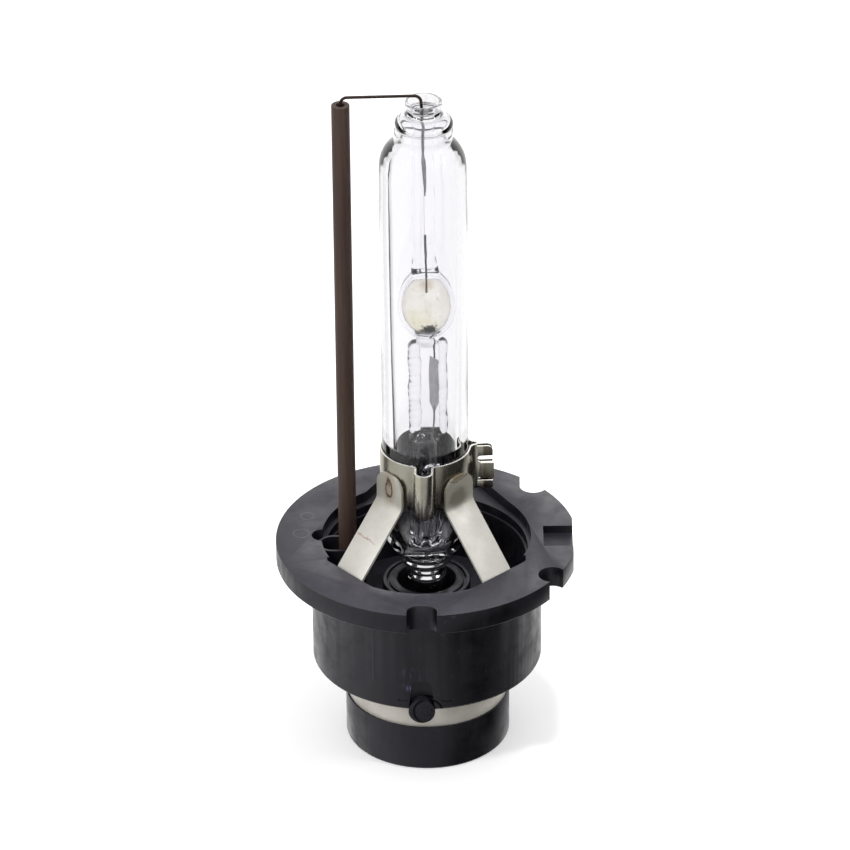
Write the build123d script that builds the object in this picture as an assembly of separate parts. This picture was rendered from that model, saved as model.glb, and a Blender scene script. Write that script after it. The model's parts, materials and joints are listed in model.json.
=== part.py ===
"""Gas-discharge headlight bulb: quartz burner in a clear outer bulb, held by a sheet-metal
collar and legs in a moulded base with a round plug-in connector.

Millimetres. The origin is on the lamp axis in the plane of the flange's front face, which is
the reference plane of the bulb. +Z points along the lamp axis to the tip, -Y to the front.
"""

import os

from build123d import *

# ---------------------------------------------------------------- driving dimensions
# base moulding
FLANGE_R = 16.0
FLANGE_T = 2.33
FLANGE_FLAT_X = 15.6          # small flat on the rim at +X
BARREL_R = 12.25
BARREL_BOTTOM = -14.06
WELL_R = 10.6                 # open well round the glass
WELL_FLOOR = -8.5
FLOOR_T = 1.5
RIM_OPENING_R = 10.8          # well mouth, widened locally below
FRONT_OPENING_R = 11.6
OPENING_DEPTH = 2.2
BACK_RECESS_R = 11.15         # off centre towards the back, so it runs out at the sides
BACK_RECESS_Y = 0.35
BACK_RECESS_DEPTH = 1.2
KEY_RECESS_DEPTH = 0.9        # rectangular recess in the rim at +X
CHAMBER_R = 10.9              # closed chamber under the well floor
EDGE_R = 0.15                 # moulded edge radius
BUSH_R = 4.7                  # bush round the lower glass stem
BUSH_TOP = -5.1
BUSH_BORE_R = 3.15
BUSH_SEAT_R = 3.9

# connector end
SOCKET_R = 8.80
SOCKET_BOTTOM = -23.75
SOCKET_BORE_R = 7.6
SOCKET_CEILING = -15.3
SOCKET_PLATE_TOP = -12.6
RING_R = 8.62                 # the contact ring lies a little inside the sleeve's surface
RING_T = 0.25
RING_BOTTOM = -18.47
BOSS_R = 2.6
BOSS_BOTTOM = -20.5
PIN_R = 1.1
PIN_BOTTOM = -21.8
PIN_SHANK_R = 1.4             # thicker part held in the boss
PIN_HEAD_R = 2.0
PIN_HEAD_T = 0.5
PEG_R = 1.41
PEG_Z = -14.19
PEG_TIP_R = 12.32
PEG_ROOT_R = 8.52
PEG_AZIMUTHS = (-93.0, 27.0, 147.0)

# sheet-metal carrier
COLLAR_INNER_R = 4.60
SHEET_T = 0.22
COLLAR_BOTTOM = 6.0
COLLAR_TOP = 11.3
RIB_AZIMUTH = -92.0
RIB_NOSE_R = 1.0
RIB_REACH = 6.85
RIB_BLEND_R = 0.35
EAR_REACH = 7.10
EAR_AZIMUTH = 4.0
EAR_GAP = 0.36
EAR_BLEND_R = 0.75
EAR_TOP = 11.05
EAR_SLOTS = ((7.05, 0.45), (9.50, 0.78))   # middle height and width of the slots between tabs
LEG_W = 3.95
LEG_T = 0.30
LEG_TOP = 9.7
LEG_BEND_Z = 6.14
LEG_FOOT_R = 10.8
LEG_FOOT_BOTTOM = -4.5
LEGS = {"leg_front_left": -138.7, "leg_front_right": -46.6, "leg_rear": 90.0}

# glass
BULB_R = 4.567
BULB_WALL = 0.80
LIGHT_CENTRE = 27.9           # arc height above the reference plane
STEM_R = 1.75
STEM_END = -6.9
NECK_R = 1.35                 # upper stem where the outer bulb closes on it
BALL_R = 3.08
BALL_HALF = 3.5
CAVITY_R = 2.2
CAVITY_HALF = 2.65

# current-carrying metal inside the glass
FOIL_X = 0.98                 # the lower foil sits off centre in its pinch
FOIL_W = 1.04
FOIL_T = 0.04
LEAD_R = 0.12
LEAD_TOP = 50.2
ELECTRODE_R = 0.11
ARC_GAP = 4.0

# outside return line
TUBE_X = -8.35
TUBE_R = 0.95
TUBE_BORE_R = 0.45
TUBE_BOTTOM = -6.9
TUBE_TOP = 51.55
WIRE_R = 0.16
WIRE_TOP = 52.5


# ---------------------------------------------------------------- small helpers
def disc(radius, z_low, z_high):
    """Upright cylinder on the lamp axis between two heights."""
    return Pos(0, 0, z_low) * Cylinder(radius, z_high - z_low, align=(Align.CENTER, Align.CENTER, Align.MIN))


def tube(outer_r, inner_r, z_low, z_high):
    """Upright ring on the lamp axis."""
    return disc(outer_r, z_low, z_high) - disc(inner_r, z_low - 1, z_high + 1)


def prism(sketch, z_low, z_high):
    """Plan-view sketch pulled up between two heights."""
    return extrude(Pos(0, 0, z_low) * sketch, amount=z_high - z_low)


def lathe(face):
    """Turns a face drawn in the XZ plane, given as (radius, height), round the lamp axis."""
    return revolve(Plane.XZ * face, Axis.Z)


def radial_rod(radius, azimuth, r_low, r_high, z):
    """Cylinder whose axis runs straight out from the lamp axis."""
    rod = Rot(0, 90, 0) * Cylinder(radius, r_high - r_low, align=(Align.CENTER, Align.CENTER, Align.MIN))
    return Rot(0, 0, azimuth) * Pos(r_low, 0, z) * rod


def half_plane(azimuth, distance):
    """Everything in plan that is nearer the axis than a chord at that azimuth and distance."""
    side = 60
    return Rot(0, 0, azimuth) * Pos(distance - side / 2, 0) * Rectangle(side, side)


def wire(points, radius, bend_r):
    """Round wire along straight runs joined by arcs."""
    path = FilletPolyline(*points, radius=bend_r)
    return sweep(Plane(origin=path @ 0, z_dir=path % 0) * Circle(radius), path=path)


# ---------------------------------------------------------------- base housing
def well_mouth():
    """Plan outline of the well at the reference plane: a circle that widens at the front, where
    two chords leave room for the front legs."""
    front = Circle(FRONT_OPENING_R) & (Pos(0, -10) * Rectangle(21, 12))
    for name in ("leg_front_left", "leg_front_right"):
        front = front & half_plane(LEGS[name], LEG_FOOT_R + LEG_T / 2)
    return Circle(RIM_OPENING_R) + front


def back_recess():
    """Shallow step round the back of the well, with a tapering bay for the rear leg and a
    small round relief beside the ceramic tube."""
    crescent = Pos(0, BACK_RECESS_Y) * Circle(BACK_RECESS_R)
    bay = Polygon((0, 5), (9.2, 6.6), (5.1, 13.5), (-4.1, 13.5), (-8.1, 6.65), align=None)
    relief = Pos(-11.05, 0.55) * Circle(1.15)
    return crescent + bay + relief


def front_notch():
    """Round-bottomed notch in the rim whose back wall leans out towards the barrel."""
    width, corner = 3.2, 1.15
    sections = []
    for z, depth in ((0.01, 1.96), (-FLANGE_T - 0.01, 1.26)):
        reach = 2.0 + depth
        slot = Pos(FLANGE_R - depth + reach / 2, 0) * Rectangle(reach, width)
        inner = slot.vertices().sort_by(Axis.X)[:2]
        sections.append(Pos(0, 0, z) * Rot(0, 0, RIB_AZIMUTH) * fillet(inner, corner))
    return loft(sections)


def rear_notch():
    """Rim notch with a round bottom and two straight flanks."""
    flanks = Polygon((11.15, 8.98), (14.5, 10.68), (14.5, 14.5), (10.2, 14.5), (10.15, 10.6), align=None)
    return Pos(11.6, 10.45) * Circle(1.48) + flanks


def tube_pocket(offset):
    """Stadium outline of the chimney that holds the ceramic tube, grown by an offset."""
    return Pos(-9.0, 0) * SlotOverall(4.6 + 2 * offset, 2.7 + 2 * offset)


def peg_recess(azimuth):
    """Tapering relief in the barrel wall above a locking peg."""
    top = -10.43
    outline = Polygon((PEG_R, PEG_Z), (1.0, top), (-1.0, top), (-PEG_R, PEG_Z), align=None)
    outline = fillet(outline.vertices().group_by(Axis.Y)[-1], 0.9)
    cutter = extrude(Plane.YZ.offset(BARREL_R - 0.85) * outline, amount=3)
    return Rot(0, 0, azimuth) * cutter


def pegs(clearance=0.0):
    """The radial bayonet pegs, grown by a clearance where another piece goes round them."""
    return [
        radial_rod(PEG_R + clearance, azimuth, PEG_ROOT_R - clearance, PEG_TIP_R, PEG_Z)
        for azimuth in PEG_AZIMUTHS
    ]


def base_housing():
    """Flange and barrel in one moulding, with the well above and a chamber below its floor."""
    flange = Circle(FLANGE_R) & (Pos(FLANGE_FLAT_X - 20, 0) * Rectangle(40, 40))
    rim = prism(flange, -FLANGE_T, 0)
    rim = chamfer(rim.faces().sort_by(Axis.Z)[0].edges(), EDGE_R)
    body = rim + disc(BARREL_R, BARREL_BOTTOM, -FLANGE_T)
    body = fillet(body.faces().sort_by(Axis.Z)[0].edges(), 2 * EDGE_R)
    body -= disc(WELL_R, WELL_FLOOR, 1)
    body -= prism(well_mouth(), -OPENING_DEPTH, 1)
    body -= prism(back_recess(), -BACK_RECESS_DEPTH, 1)
    body -= disc(CHAMBER_R, BARREL_BOTTOM - 1, WELL_FLOOR - FLOOR_T)
    for azimuth in PEG_AZIMUTHS:
        body -= peg_recess(azimuth)
    body += pegs()

    # chimney for the ceramic tube: thin wall up to just below the rim, blind pocket inside
    pocket_floor = TUBE_BOTTOM
    body += prism(tube_pocket(0.3), WELL_FLOOR - 0.2, -0.7)
    body -= prism(tube_pocket(0.0), pocket_floor, 1)
    body -= Pos(TUBE_X, 0, -9) * Cylinder(WIRE_R, 8)

    # notches and the shallow key recess
    body -= front_notch()
    body -= Pos(13.25, -7.95, 0) * Cylinder(1.5, 8)
    body -= prism(rear_notch(), -FLANGE_T - 1, 1)
    body -= Pos(16.46, -0.05, 0) * Box(8.0, 4.12, 2 * KEY_RECESS_DEPTH)

    # seat for the stem bush
    body -= disc(BUSH_SEAT_R, WELL_FLOOR - FLOOR_T - 1, WELL_FLOOR + 1)
    return body


# ---------------------------------------------------------------- stem bush
def stem_bush():
    """Ring that stands on the well floor round the lower glass stem."""
    floor_bottom = WELL_FLOOR - FLOOR_T
    bush = fillet(disc(BUSH_R, WELL_FLOOR, BUSH_TOP).faces().sort_by(Axis.Z)[-1].edges(), EDGE_R)
    bush += disc(BUSH_SEAT_R, floor_bottom, WELL_FLOOR)
    bush -= disc(BUSH_BORE_R, -8.9, 0)
    bush -= tube(4.25, 4.0, BUSH_TOP - 0.35, BUSH_TOP + 1)
    return bush - disc(LEAD_R, floor_bottom - 1, 0)


# ---------------------------------------------------------------- connector end
def connector_socket():
    """Closing plate of the base with the connector sleeve and the boss round the centre pin."""
    plate = disc(CHAMBER_R - 0.02, BARREL_BOTTOM, SOCKET_PLATE_TOP)
    plate += disc(RING_R - RING_T, RING_BOTTOM, BARREL_BOTTOM)
    sleeve = disc(SOCKET_R, SOCKET_BOTTOM, RING_BOTTOM)
    sleeve = fillet(sleeve.faces().sort_by(Axis.Z)[0].edges(), 2 * EDGE_R)
    body = plate + sleeve
    body -= disc(SOCKET_BORE_R, SOCKET_BOTTOM - 1, SOCKET_CEILING)
    body = fillet(body.edges().filter_by(GeomType.CIRCLE).group_by(Axis.Z)[0], EDGE_R)
    body += disc(BOSS_R, BOSS_BOTTOM, SOCKET_CEILING)
    body -= disc(PIN_SHANK_R, SOCKET_BOTTOM, 0)
    for peg in pegs(clearance=0.03):
        body -= peg
    return body - contact_tab()


def contact_tab():
    """Tongue of the contact ring that passes up through the plate to the return wire."""
    tongue = (Circle(RING_R) - Circle(RING_R - RING_T)) & (Pos(-RING_R, 0) * Rectangle(2, 1.8))
    return prism(tongue, BARREL_BOTTOM - 0.5, SOCKET_PLATE_TOP + 1.4)


def contact_ring():
    """Earthed outer contact: a sheet ring let into the sleeve, relieved round the pegs."""
    ring = tube(RING_R, RING_R - RING_T, RING_BOTTOM, BARREL_BOTTOM) + contact_tab()
    for peg in pegs(clearance=0.14):
        ring -= peg
    return ring


def centre_contact():
    """Live contact: a hollow stepped rivet through the boss, with its head above the plate."""
    head_top = SOCKET_PLATE_TOP + PIN_HEAD_T
    pin = disc(PIN_R, PIN_BOTTOM, BOSS_BOTTOM) + disc(PIN_SHANK_R, BOSS_BOTTOM, SOCKET_PLATE_TOP)
    pin += disc(PIN_HEAD_R, SOCKET_PLATE_TOP, head_top)
    pin = fillet(pin.faces().sort_by(Axis.Z)[0].edges(), 0.2)
    return pin - disc(LEAD_R, PIN_BOTTOM - 1, 0)


def pin_solder():
    """Solder bead that closes the hollow centre contact over the end of the lead."""
    bead = Pos(0, 0, PIN_BOTTOM) * Sphere(0.62)
    return bead - disc(PIN_R + 1, PIN_BOTTOM, 0)


# ---------------------------------------------------------------- metal carrier
def collar_outline(radius, rib_r, ear_half, blend_extra, reach):
    """Plan outline of the collar at one side of the sheet: the circle, the omega rib and the
    two closing ears, blended where they leave the circle. The inner side of the sheet takes
    its thickness as extra blend radius."""
    rib_nose = RIB_REACH - RIB_NOSE_R
    rib = Pos(rib_nose / 2, 0) * Rectangle(rib_nose, 2 * rib_r) + Pos(rib_nose, 0) * Circle(rib_r)
    rib = Rot(0, 0, RIB_AZIMUTH) * rib
    ears = Rot(0, 0, EAR_AZIMUTH) * Pos(reach / 2, 0) * Rectangle(reach, 2 * ear_half)
    seam_at_back = Rot(0, 0, 90) * Circle(radius)
    outline = seam_at_back + rib + ears
    for blend_r, at_rib in ((RIB_BLEND_R, True), (EAR_BLEND_R, False)):
        corners = [
            v for v in outline.vertices()
            if abs(Vector(v.X, v.Y).length - radius) < 0.02 and (v.Y < -2) == at_rib and v.Y < 2
        ]
        outline = fillet(corners, blend_r + blend_extra)
    return outline


def clamp_collar():
    """Sheet band clamped round the outer bulb. One omega rib gives it spring, and its two ears
    are locked by tabs."""
    outer = collar_outline(COLLAR_INNER_R + SHEET_T, RIB_NOSE_R, EAR_GAP / 2 + SHEET_T, 0.0, EAR_REACH)
    inner = collar_outline(COLLAR_INNER_R, RIB_NOSE_R - SHEET_T, EAR_GAP / 2, SHEET_T, EAR_REACH + 1)
    band = prism(outer - inner, COLLAR_BOTTOM, COLLAR_TOP)

    # the middle tab of the far ear is folded round the near ear
    fold_w = 1.45
    fold_depth = EAR_GAP + 4 * SHEET_T + 0.02
    fold = Rectangle(fold_w, fold_depth) - Rectangle(fold_w - SHEET_T, fold_depth - 2 * SHEET_T)
    fold = Rot(0, 0, EAR_AZIMUTH) * Pos(EAR_REACH + 0.1 - fold_w / 2, 0) * fold
    (low_z, low_w), (high_z, high_w) = EAR_SLOTS
    band += prism(fold - outer, low_z + low_w / 2, high_z - high_w / 2)
    return band - ear_cutters()


def ear_cutters():
    """Round-ended slots that part the ears into three tabs, and the ears' lowered, rounded top."""
    ear_start, run = 5.45, 8.0
    side = Pos(ear_start + run / 2, COLLAR_TOP) * Rectangle(run, 2 * (COLLAR_TOP - EAR_TOP))
    for z, width in EAR_SLOTS:
        side += Pos(ear_start + run / 2, z) * SlotOverall(run, width)
    round_r = 0.6
    rounding = Pos(round_r, round_r) * Rectangle(2 * round_r, 2 * round_r) - Circle(round_r)
    side += Pos(EAR_REACH - round_r, EAR_TOP - round_r) * rounding
    return Rot(0, 0, EAR_AZIMUTH) * extrude(Plane.XZ * side, amount=1.5, both=True)


def leg(azimuth):
    """Strip that carries the collar: round tongue on the band, straight slope, buried foot."""
    face_r = COLLAR_INNER_R + SHEET_T + 0.03
    centre_r = face_r + LEG_T / 2
    path = FilletPolyline(
        (centre_r, LEG_TOP), (centre_r, LEG_BEND_Z), (LEG_FOOT_R, -0.35), (LEG_FOOT_R, LEG_FOOT_BOTTOM), radius=1.2
    )
    section = Plane.XZ * trace(path, LEG_T)
    strip = extrude(section, amount=LEG_W / 2, both=True)
    height = LEG_TOP - LEG_FOOT_BOTTOM
    blank = Pos(0, LEG_FOOT_BOTTOM + height / 2) * Rectangle(LEG_W, height)
    blank = fillet(blank.vertices().group_by(Axis.Y)[-1], 1.6)
    strip = strip & extrude(Plane.YZ * blank, amount=20)
    weld = radial_rod(0.55, 0, COLLAR_INNER_R + SHEET_T / 2, centre_r, 8.0)
    return Rot(0, 0, azimuth) * (strip + weld)


# ---------------------------------------------------------------- glass
def outer_bulb():
    """Clear sleeve closed on to the burner's stems at both ends, with an open pump tip."""
    outer = [
        Line((STEM_R, -2.75), (2.3, -2.75)),
        ThreePointArc((2.3, -2.75), (2.66, -2.25), (2.55, -1.75)),
        Line((2.55, -1.75), (2.95, -1.45)),
        Line((2.95, -1.45), (3.95, -0.25)),
        ThreePointArc((3.95, -0.25), (4.42, 0.75), (BULB_R, 2.0)),
        Line((BULB_R, 2.0), (BULB_R, 45.0)),
        ThreePointArc((BULB_R, 45.0), (4.3, 46.1), (3.6, 47.0)),
        ThreePointArc((3.6, 47.0), (3.0, 47.4), (2.85, 47.9)),
        ThreePointArc((2.85, 47.9), (3.05, 48.6), (2.75, 49.3)),
        ThreePointArc((2.75, 49.3), (2.1, 49.6), (1.95, 50.2)),
        Line((1.95, 50.2), (2.02, 51.6)),
        ThreePointArc((2.02, 51.6), (1.8, 51.85), (1.55, 51.6)),
        Line((1.55, 51.6), (1.5, 48.6)),
        Line((1.5, 48.6), (NECK_R, 48.2)),
        Line((NECK_R, 48.2), (NECK_R, 47.0)),
        ThreePointArc((NECK_R, 47.0), (2.9, 46.4), (BULB_R - BULB_WALL, 44.8)),
        Line((BULB_R - BULB_WALL, 44.8), (BULB_R - BULB_WALL, 1.9)),
        ThreePointArc((BULB_R - BULB_WALL, 1.9), (3.2, 0.2), (STEM_R, -0.9)),
        Line((STEM_R, -0.9), (STEM_R, -2.75)),
    ]
    return lathe(make_face(Curve(outer)))


def burner_blank():
    """Solid outside shape of the quartz burner: ball, two pinched stems and round ends."""
    ball = ellipsoid(BALL_R, BALL_HALF)
    lower = prism(SlotOverall(4.2, 2.3), 12.4, LIGHT_CENTRE - 2.6)
    upper = prism(Rot(0, 0, 90) * SlotOverall(3.4, 2.15), LIGHT_CENTRE + 2.6, 46.4)
    lower_end = [
        Line((0, STEM_END), (0, 12.6)),
        Line((0, 12.6), (STEM_R, 12.2)),
        Line((STEM_R, 12.2), (STEM_R, -3.1)),
        ThreePointArc((STEM_R, -3.1), (2.05, -4.9), (1.5, -6.5)),
        Line((1.5, -6.5), (1.2, STEM_END)),
        Line((1.2, STEM_END), (0, STEM_END)),
    ]
    return ball + lower + upper + lathe(make_face(Curve(lower_end))) + disc(NECK_R, 46.2, 48.1)


def ellipsoid(radius, half_height):
    """Egg-shaped solid round the light centre."""
    quarter = EllipticalCenterArc((0, LIGHT_CENTRE), radius, half_height, start_angle=-90, arc_size=180)
    closing = Line(quarter @ 1, quarter @ 0)
    return lathe(make_face(Curve([quarter, closing])))


def burner_metal():
    """Every rod and foil sealed in the burner, by node name."""
    mid = LIGHT_CENTRE
    tip_gap = ARC_GAP / 2
    lower_foil = (15.8, 22.1)
    upper_foil = (36.2, 42.0)
    lap = 0.8
    foil_plan = {
        "lower_foil": Pos(FOIL_X, 0) * Rectangle(FOIL_W, FOIL_T),
        "upper_foil": Rectangle(FOIL_T, FOIL_W),
    }
    pieces = {
        "lower_foil": prism(foil_plan["lower_foil"], *lower_foil),
        "upper_foil": prism(foil_plan["upper_foil"], *upper_foil),
    }

    # each rod lies against its foil's face, so it steps aside by both half thicknesses
    bend = 0.5
    beside = FOIL_T / 2 + ELECTRODE_R
    pieces["lower_electrode"] = wire(
        [(0.85, beside, lower_foil[1] - lap), (0.85, beside, 22.5), (0.25, 0, 24.2), (0.25, 0, mid - tip_gap)],
        ELECTRODE_R, bend)
    pieces["upper_electrode"] = wire(
        [(beside, 0, upper_foil[0] + lap), (beside, 0, 35.6), (0, 0, 34.8), (0, 0, mid + tip_gap)],
        ELECTRODE_R, bend)
    beside = FOIL_T / 2 + LEAD_R
    pieces["lower_lead"] = wire(
        [(0.92, beside, lower_foil[0] + lap), (0.92, beside, 14.6), (0.62, 0, 12.4), (0.62, 0, 8.6), (0, 0, 5.6),
         (0, 0, PIN_BOTTOM)],
        LEAD_R, bend)
    pieces["upper_lead"] = wire(
        [(beside, 0, upper_foil[1] - lap), (beside, 0, 43.0), (0, 0, 44.0), (0, 0, LEAD_TOP)],
        LEAD_R, bend)
    return pieces


def salts():
    """Condensed metal salts: a shallow pool on the lower wall of the discharge cavity."""
    cavity = ellipsoid(CAVITY_R, CAVITY_HALF)
    return cavity & disc(5, LIGHT_CENTRE - 5, LIGHT_CENTRE - CAVITY_HALF + 0.7)


def burner(metal):
    """Quartz burner with its discharge cavity, closed round the sealed-in metal."""
    glass = burner_blank() - ellipsoid(CAVITY_R, CAVITY_HALF)
    for piece in metal.values():
        glass -= piece
    return glass


# ---------------------------------------------------------------- outside return line
def return_wire():
    """Wire from the contact ring up through the ceramic tube and over to the upper lead."""
    points = [
        (TUBE_X, 0, SOCKET_PLATE_TOP + 0.2), (TUBE_X, 0, WIRE_TOP - 0.15), (-0.15, 0, WIRE_TOP), (0, 0, LEAD_TOP),
    ]
    return wire(points, WIRE_R, 0.7)


def ceramic_tube():
    """Insulating tube over the return wire."""
    body = tube(TUBE_R, TUBE_BORE_R, TUBE_BOTTOM, TUBE_TOP)
    body = chamfer(body.edges().filter_by(GeomType.CIRCLE).group_by(Axis.Z)[-1], 0.06)
    return Pos(TUBE_X, 0, 0) * body


def potting(inner_pieces):
    """Silicone that fills the chamber between the well floor and the connector plate."""
    fill = disc(CHAMBER_R, SOCKET_PLATE_TOP, WELL_FLOOR - FLOOR_T)
    for piece in inner_pieces:
        fill -= piece
    return fill


# ---------------------------------------------------------------- write the sub-parts
def build():
    """Every sub-part by node name. A piece that lies inside another is cut out of it."""
    metal = burner_metal()
    salt_pool = salts() - metal["lower_electrode"]
    parts = dict(metal)
    parts["halide_salts"] = salt_pool
    parts["arc_tube"] = burner(metal)
    parts["outer_bulb"] = outer_bulb()
    parts["return_wire"] = return_wire()
    parts["ceramic_tube"] = ceramic_tube()
    parts["clamp_collar"] = clamp_collar()
    for name, azimuth in LEGS.items():
        parts[name] = leg(azimuth) - parts["clamp_collar"]
    housing = base_housing()
    for name in LEGS:
        housing -= parts[name]
    parts["base_housing"] = housing
    parts["stem_bush"] = stem_bush()
    parts["connector_socket"] = connector_socket()
    parts["contact_ring"] = contact_ring() - parts["return_wire"]
    parts["centre_contact"] = centre_contact()
    parts["pin_solder"] = pin_solder()
    chamber_pieces = ("contact_ring", "centre_contact", "lower_lead", "return_wire")
    parts["potting_compound"] = potting([parts[name] for name in chamber_pieces])
    return parts


os.makedirs("parts", exist_ok=True)
for node, shape in build().items():
    export_step(shape, f"parts/{node}.step")
    print(node, round(shape.volume, 3))
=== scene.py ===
"""Looks of the gas-discharge headlight bulb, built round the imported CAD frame.

Everything is in the frame of the CAD: the origin on the lamp axis in the plane of the flange's
face towards the tip, Z up the lamp axis to the tip, -Y to the front of the bulb. Drawings below
are in millimetres, and MM turns them into metres.
"""

import json
import math

import bmesh
import bpy
from mathutils import Matrix, Vector


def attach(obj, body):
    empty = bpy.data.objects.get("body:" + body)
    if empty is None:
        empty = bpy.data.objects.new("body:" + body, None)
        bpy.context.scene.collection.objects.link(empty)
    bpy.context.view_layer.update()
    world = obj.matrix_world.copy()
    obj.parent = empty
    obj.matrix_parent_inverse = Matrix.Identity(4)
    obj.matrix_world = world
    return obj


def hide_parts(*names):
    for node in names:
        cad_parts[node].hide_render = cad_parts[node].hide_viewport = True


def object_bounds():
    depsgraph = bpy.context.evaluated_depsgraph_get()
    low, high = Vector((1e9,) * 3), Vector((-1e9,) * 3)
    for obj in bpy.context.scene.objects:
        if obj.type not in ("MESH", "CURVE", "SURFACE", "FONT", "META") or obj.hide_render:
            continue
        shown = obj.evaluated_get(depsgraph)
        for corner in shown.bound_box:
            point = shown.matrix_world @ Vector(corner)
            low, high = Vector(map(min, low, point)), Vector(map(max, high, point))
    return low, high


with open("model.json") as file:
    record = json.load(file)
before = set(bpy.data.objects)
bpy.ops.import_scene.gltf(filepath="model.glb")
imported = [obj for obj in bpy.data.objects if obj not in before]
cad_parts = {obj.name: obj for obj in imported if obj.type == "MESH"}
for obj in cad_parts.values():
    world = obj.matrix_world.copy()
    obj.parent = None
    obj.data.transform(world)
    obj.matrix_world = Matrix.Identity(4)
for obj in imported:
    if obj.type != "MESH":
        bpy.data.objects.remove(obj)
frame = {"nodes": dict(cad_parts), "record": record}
cad_box = [list(corner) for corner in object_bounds()]

MM = 0.001
BODY = "root"
X, Y, Z = range(3)

# The burner's ball, which leans a little to +X.
BALL_MIDDLE = 28.3
BALL_RADIUS = 3.02
BALL_LEAN = 0.25

# Sockets of the Mix node, which has one pair for numbers and another for colours.
MIX_NUMBERS = (2, 3)
MIX_COLOURS = (6, 7)
MIX_COLOUR_OUT = 2


def rgb(red, green, blue):
    return (red, green, blue, 1.0)


BLACK = rgb(0, 0, 0)
WHITE = rgb(1, 1, 1)


# ------------------------------------------------------------------ node helpers
class Nodes:
    """A node tree, with short calls for the nodes used here."""

    def __init__(self, tree):
        self.tree = tree

    def add(self, kind, inputs=None, **settings):
        node = self.tree.nodes.new(kind)
        for key, value in settings.items():
            setattr(node, key, value)
        for key, value in (inputs or {}).items():
            self.feed(node.inputs[key], value)
        return node

    def feed(self, socket, value):
        """Sets an input, or links it to another node's output."""
        if isinstance(value, bpy.types.NodeSocket):
            self.tree.links.new(value, socket)
        else:
            socket.default_value = value

    def math(self, operation, a, b=0.0, clamp=False):
        node = self.add("ShaderNodeMath", {0: a, 1: b}, operation=operation, use_clamp=clamp)
        return node.outputs[0]

    def product(self, first, *others):
        for other in others:
            first = self.math("MULTIPLY", first, other)
        return first

    def total(self, first, *others):
        for other in others:
            first = self.math("ADD", first, other)
        return first

    def minus(self, a, b):
        return self.math("SUBTRACT", a, b)

    def span(self, value, low, high, to_low=0.0, to_high=1.0):
        """Smooth step from one value to another between two levels."""
        node = self.add("ShaderNodeMapRange", {"Value": value, "From Min": low, "From Max": high,
                                               "To Min": to_low, "To Max": to_high})
        node.interpolation_type = "SMOOTHSTEP"
        return node.outputs["Result"]


class Shade(Nodes):
    """One material's node tree."""

    def __init__(self, name):
        self.material = bpy.data.materials.new(name)
        self.material.use_nodes = True
        super().__init__(self.material.node_tree)
        self.bsdf = self.tree.nodes["Principled BSDF"]
        self.place = self.add("ShaderNodeTexCoord").outputs["Object"]

    def set(self, **inputs):
        for key, value in inputs.items():
            self.feed(self.bsdf.inputs[key.replace("_", " ")], value)

    def noise(self, scale, detail=3.0, rough=0.55, stretch=(1, 1, 1), offset=(0, 0, 0)):
        """Noise in the object's own space. Scale is in features per metre."""
        mapped = self.add("ShaderNodeMapping",
                          {"Vector": self.place, "Scale": stretch, "Location": offset})
        node = self.add("ShaderNodeTexNoise", {"Vector": mapped.outputs[0], "Scale": scale,
                                               "Detail": detail, "Roughness": rough})
        return node.outputs["Fac"]

    def wander(self, scale, width):
        """Slow noise about zero, to make a line or an edge uneven."""
        return self.product(self.minus(self.noise(scale, 3), 0.5), width)

    def mix(self, factor, a, b):
        node = self.add("ShaderNodeMix", data_type="RGBA", blend_type="MIX")
        self.feed(node.inputs["Factor"], factor)
        for socket, colour in zip(MIX_COLOURS, (a, b)):
            self.feed(node.inputs[socket], colour)
        return node.outputs[MIX_COLOUR_OUT]

    def tint(self, tone, colour, *shares):
        """A tone painted over with a colour, as thickly as the product of the shares."""
        return self.mix(self.product(*shares), tone, colour)

    def bump(self, height, distance, strength):
        node = self.add("ShaderNodeBump",
                        {"Height": height, "Distance": distance, "Strength": strength})
        return node.outputs["Normal"]

    def axis(self, index):
        """One coordinate of the point on the surface, in mm."""
        split = self.add("ShaderNodeSeparateXYZ", {0: self.place})
        return self.math("DIVIDE", split.outputs[index], MM)

    def upward(self, low=0.6, high=0.9):
        """1 where the surface faces up."""
        normal = self.add("ShaderNodeTexCoord").outputs["Normal"]
        split = self.add("ShaderNodeSeparateXYZ", {0: normal})
        return self.span(split.outputs["Z"], low, high)

    def reach(self, point, squash=(1, 1, 1)):
        """Distance in mm from a point given in mm, with some directions squashed."""
        gap = self.add("ShaderNodeVectorMath", {0: self.place, 1: Vector(point) * MM},
                       operation="SUBTRACT")
        flat = self.add("ShaderNodeVectorMath", {0: gap.outputs[0], 1: Vector(squash) / MM},
                        operation="MULTIPLY")
        length = self.add("ShaderNodeVectorMath", {0: flat.outputs[0]}, operation="LENGTH")
        return length.outputs["Value"]

    def near(self, point, inner, outer, squash=(1, 1, 1)):
        """1 near a point given in mm, falling to 0 between two distances in mm."""
        return self.span(self.reach(point, squash), inner, outer, 1.0, 0.0)

    def band(self, value, low, high, soft):
        """1 while a value lies between two levels, with soft ends."""
        rise = self.span(value, low - soft, low + soft)
        fall = self.span(value, high - soft, high + soft, 1.0, 0.0)
        return self.product(rise, fall)

    def stroke(self, value, level, core, edge):
        """1 where a value is within one distance of a level, falling to 0 at another."""
        return self.span(self.math("ABSOLUTE", self.minus(value, level)), core, edge, 1.0, 0.0)


# ------------------------------------------------------------------ plastic
PLASTIC_GLOSS = 0.5
EJECTOR_RINGS = (((-13.3, 1.0, 0), 0.85), ((-12.7, 4.6, 0), 0.7))  # middle and radius
FLASH_LINE_X = -5.75
PEG_MIDDLE = (0, -12.0, -14.19)
PEG_FACE = (-0.64, -12.3, -14.19)
CRACK_LEVEL = -13.0


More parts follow.
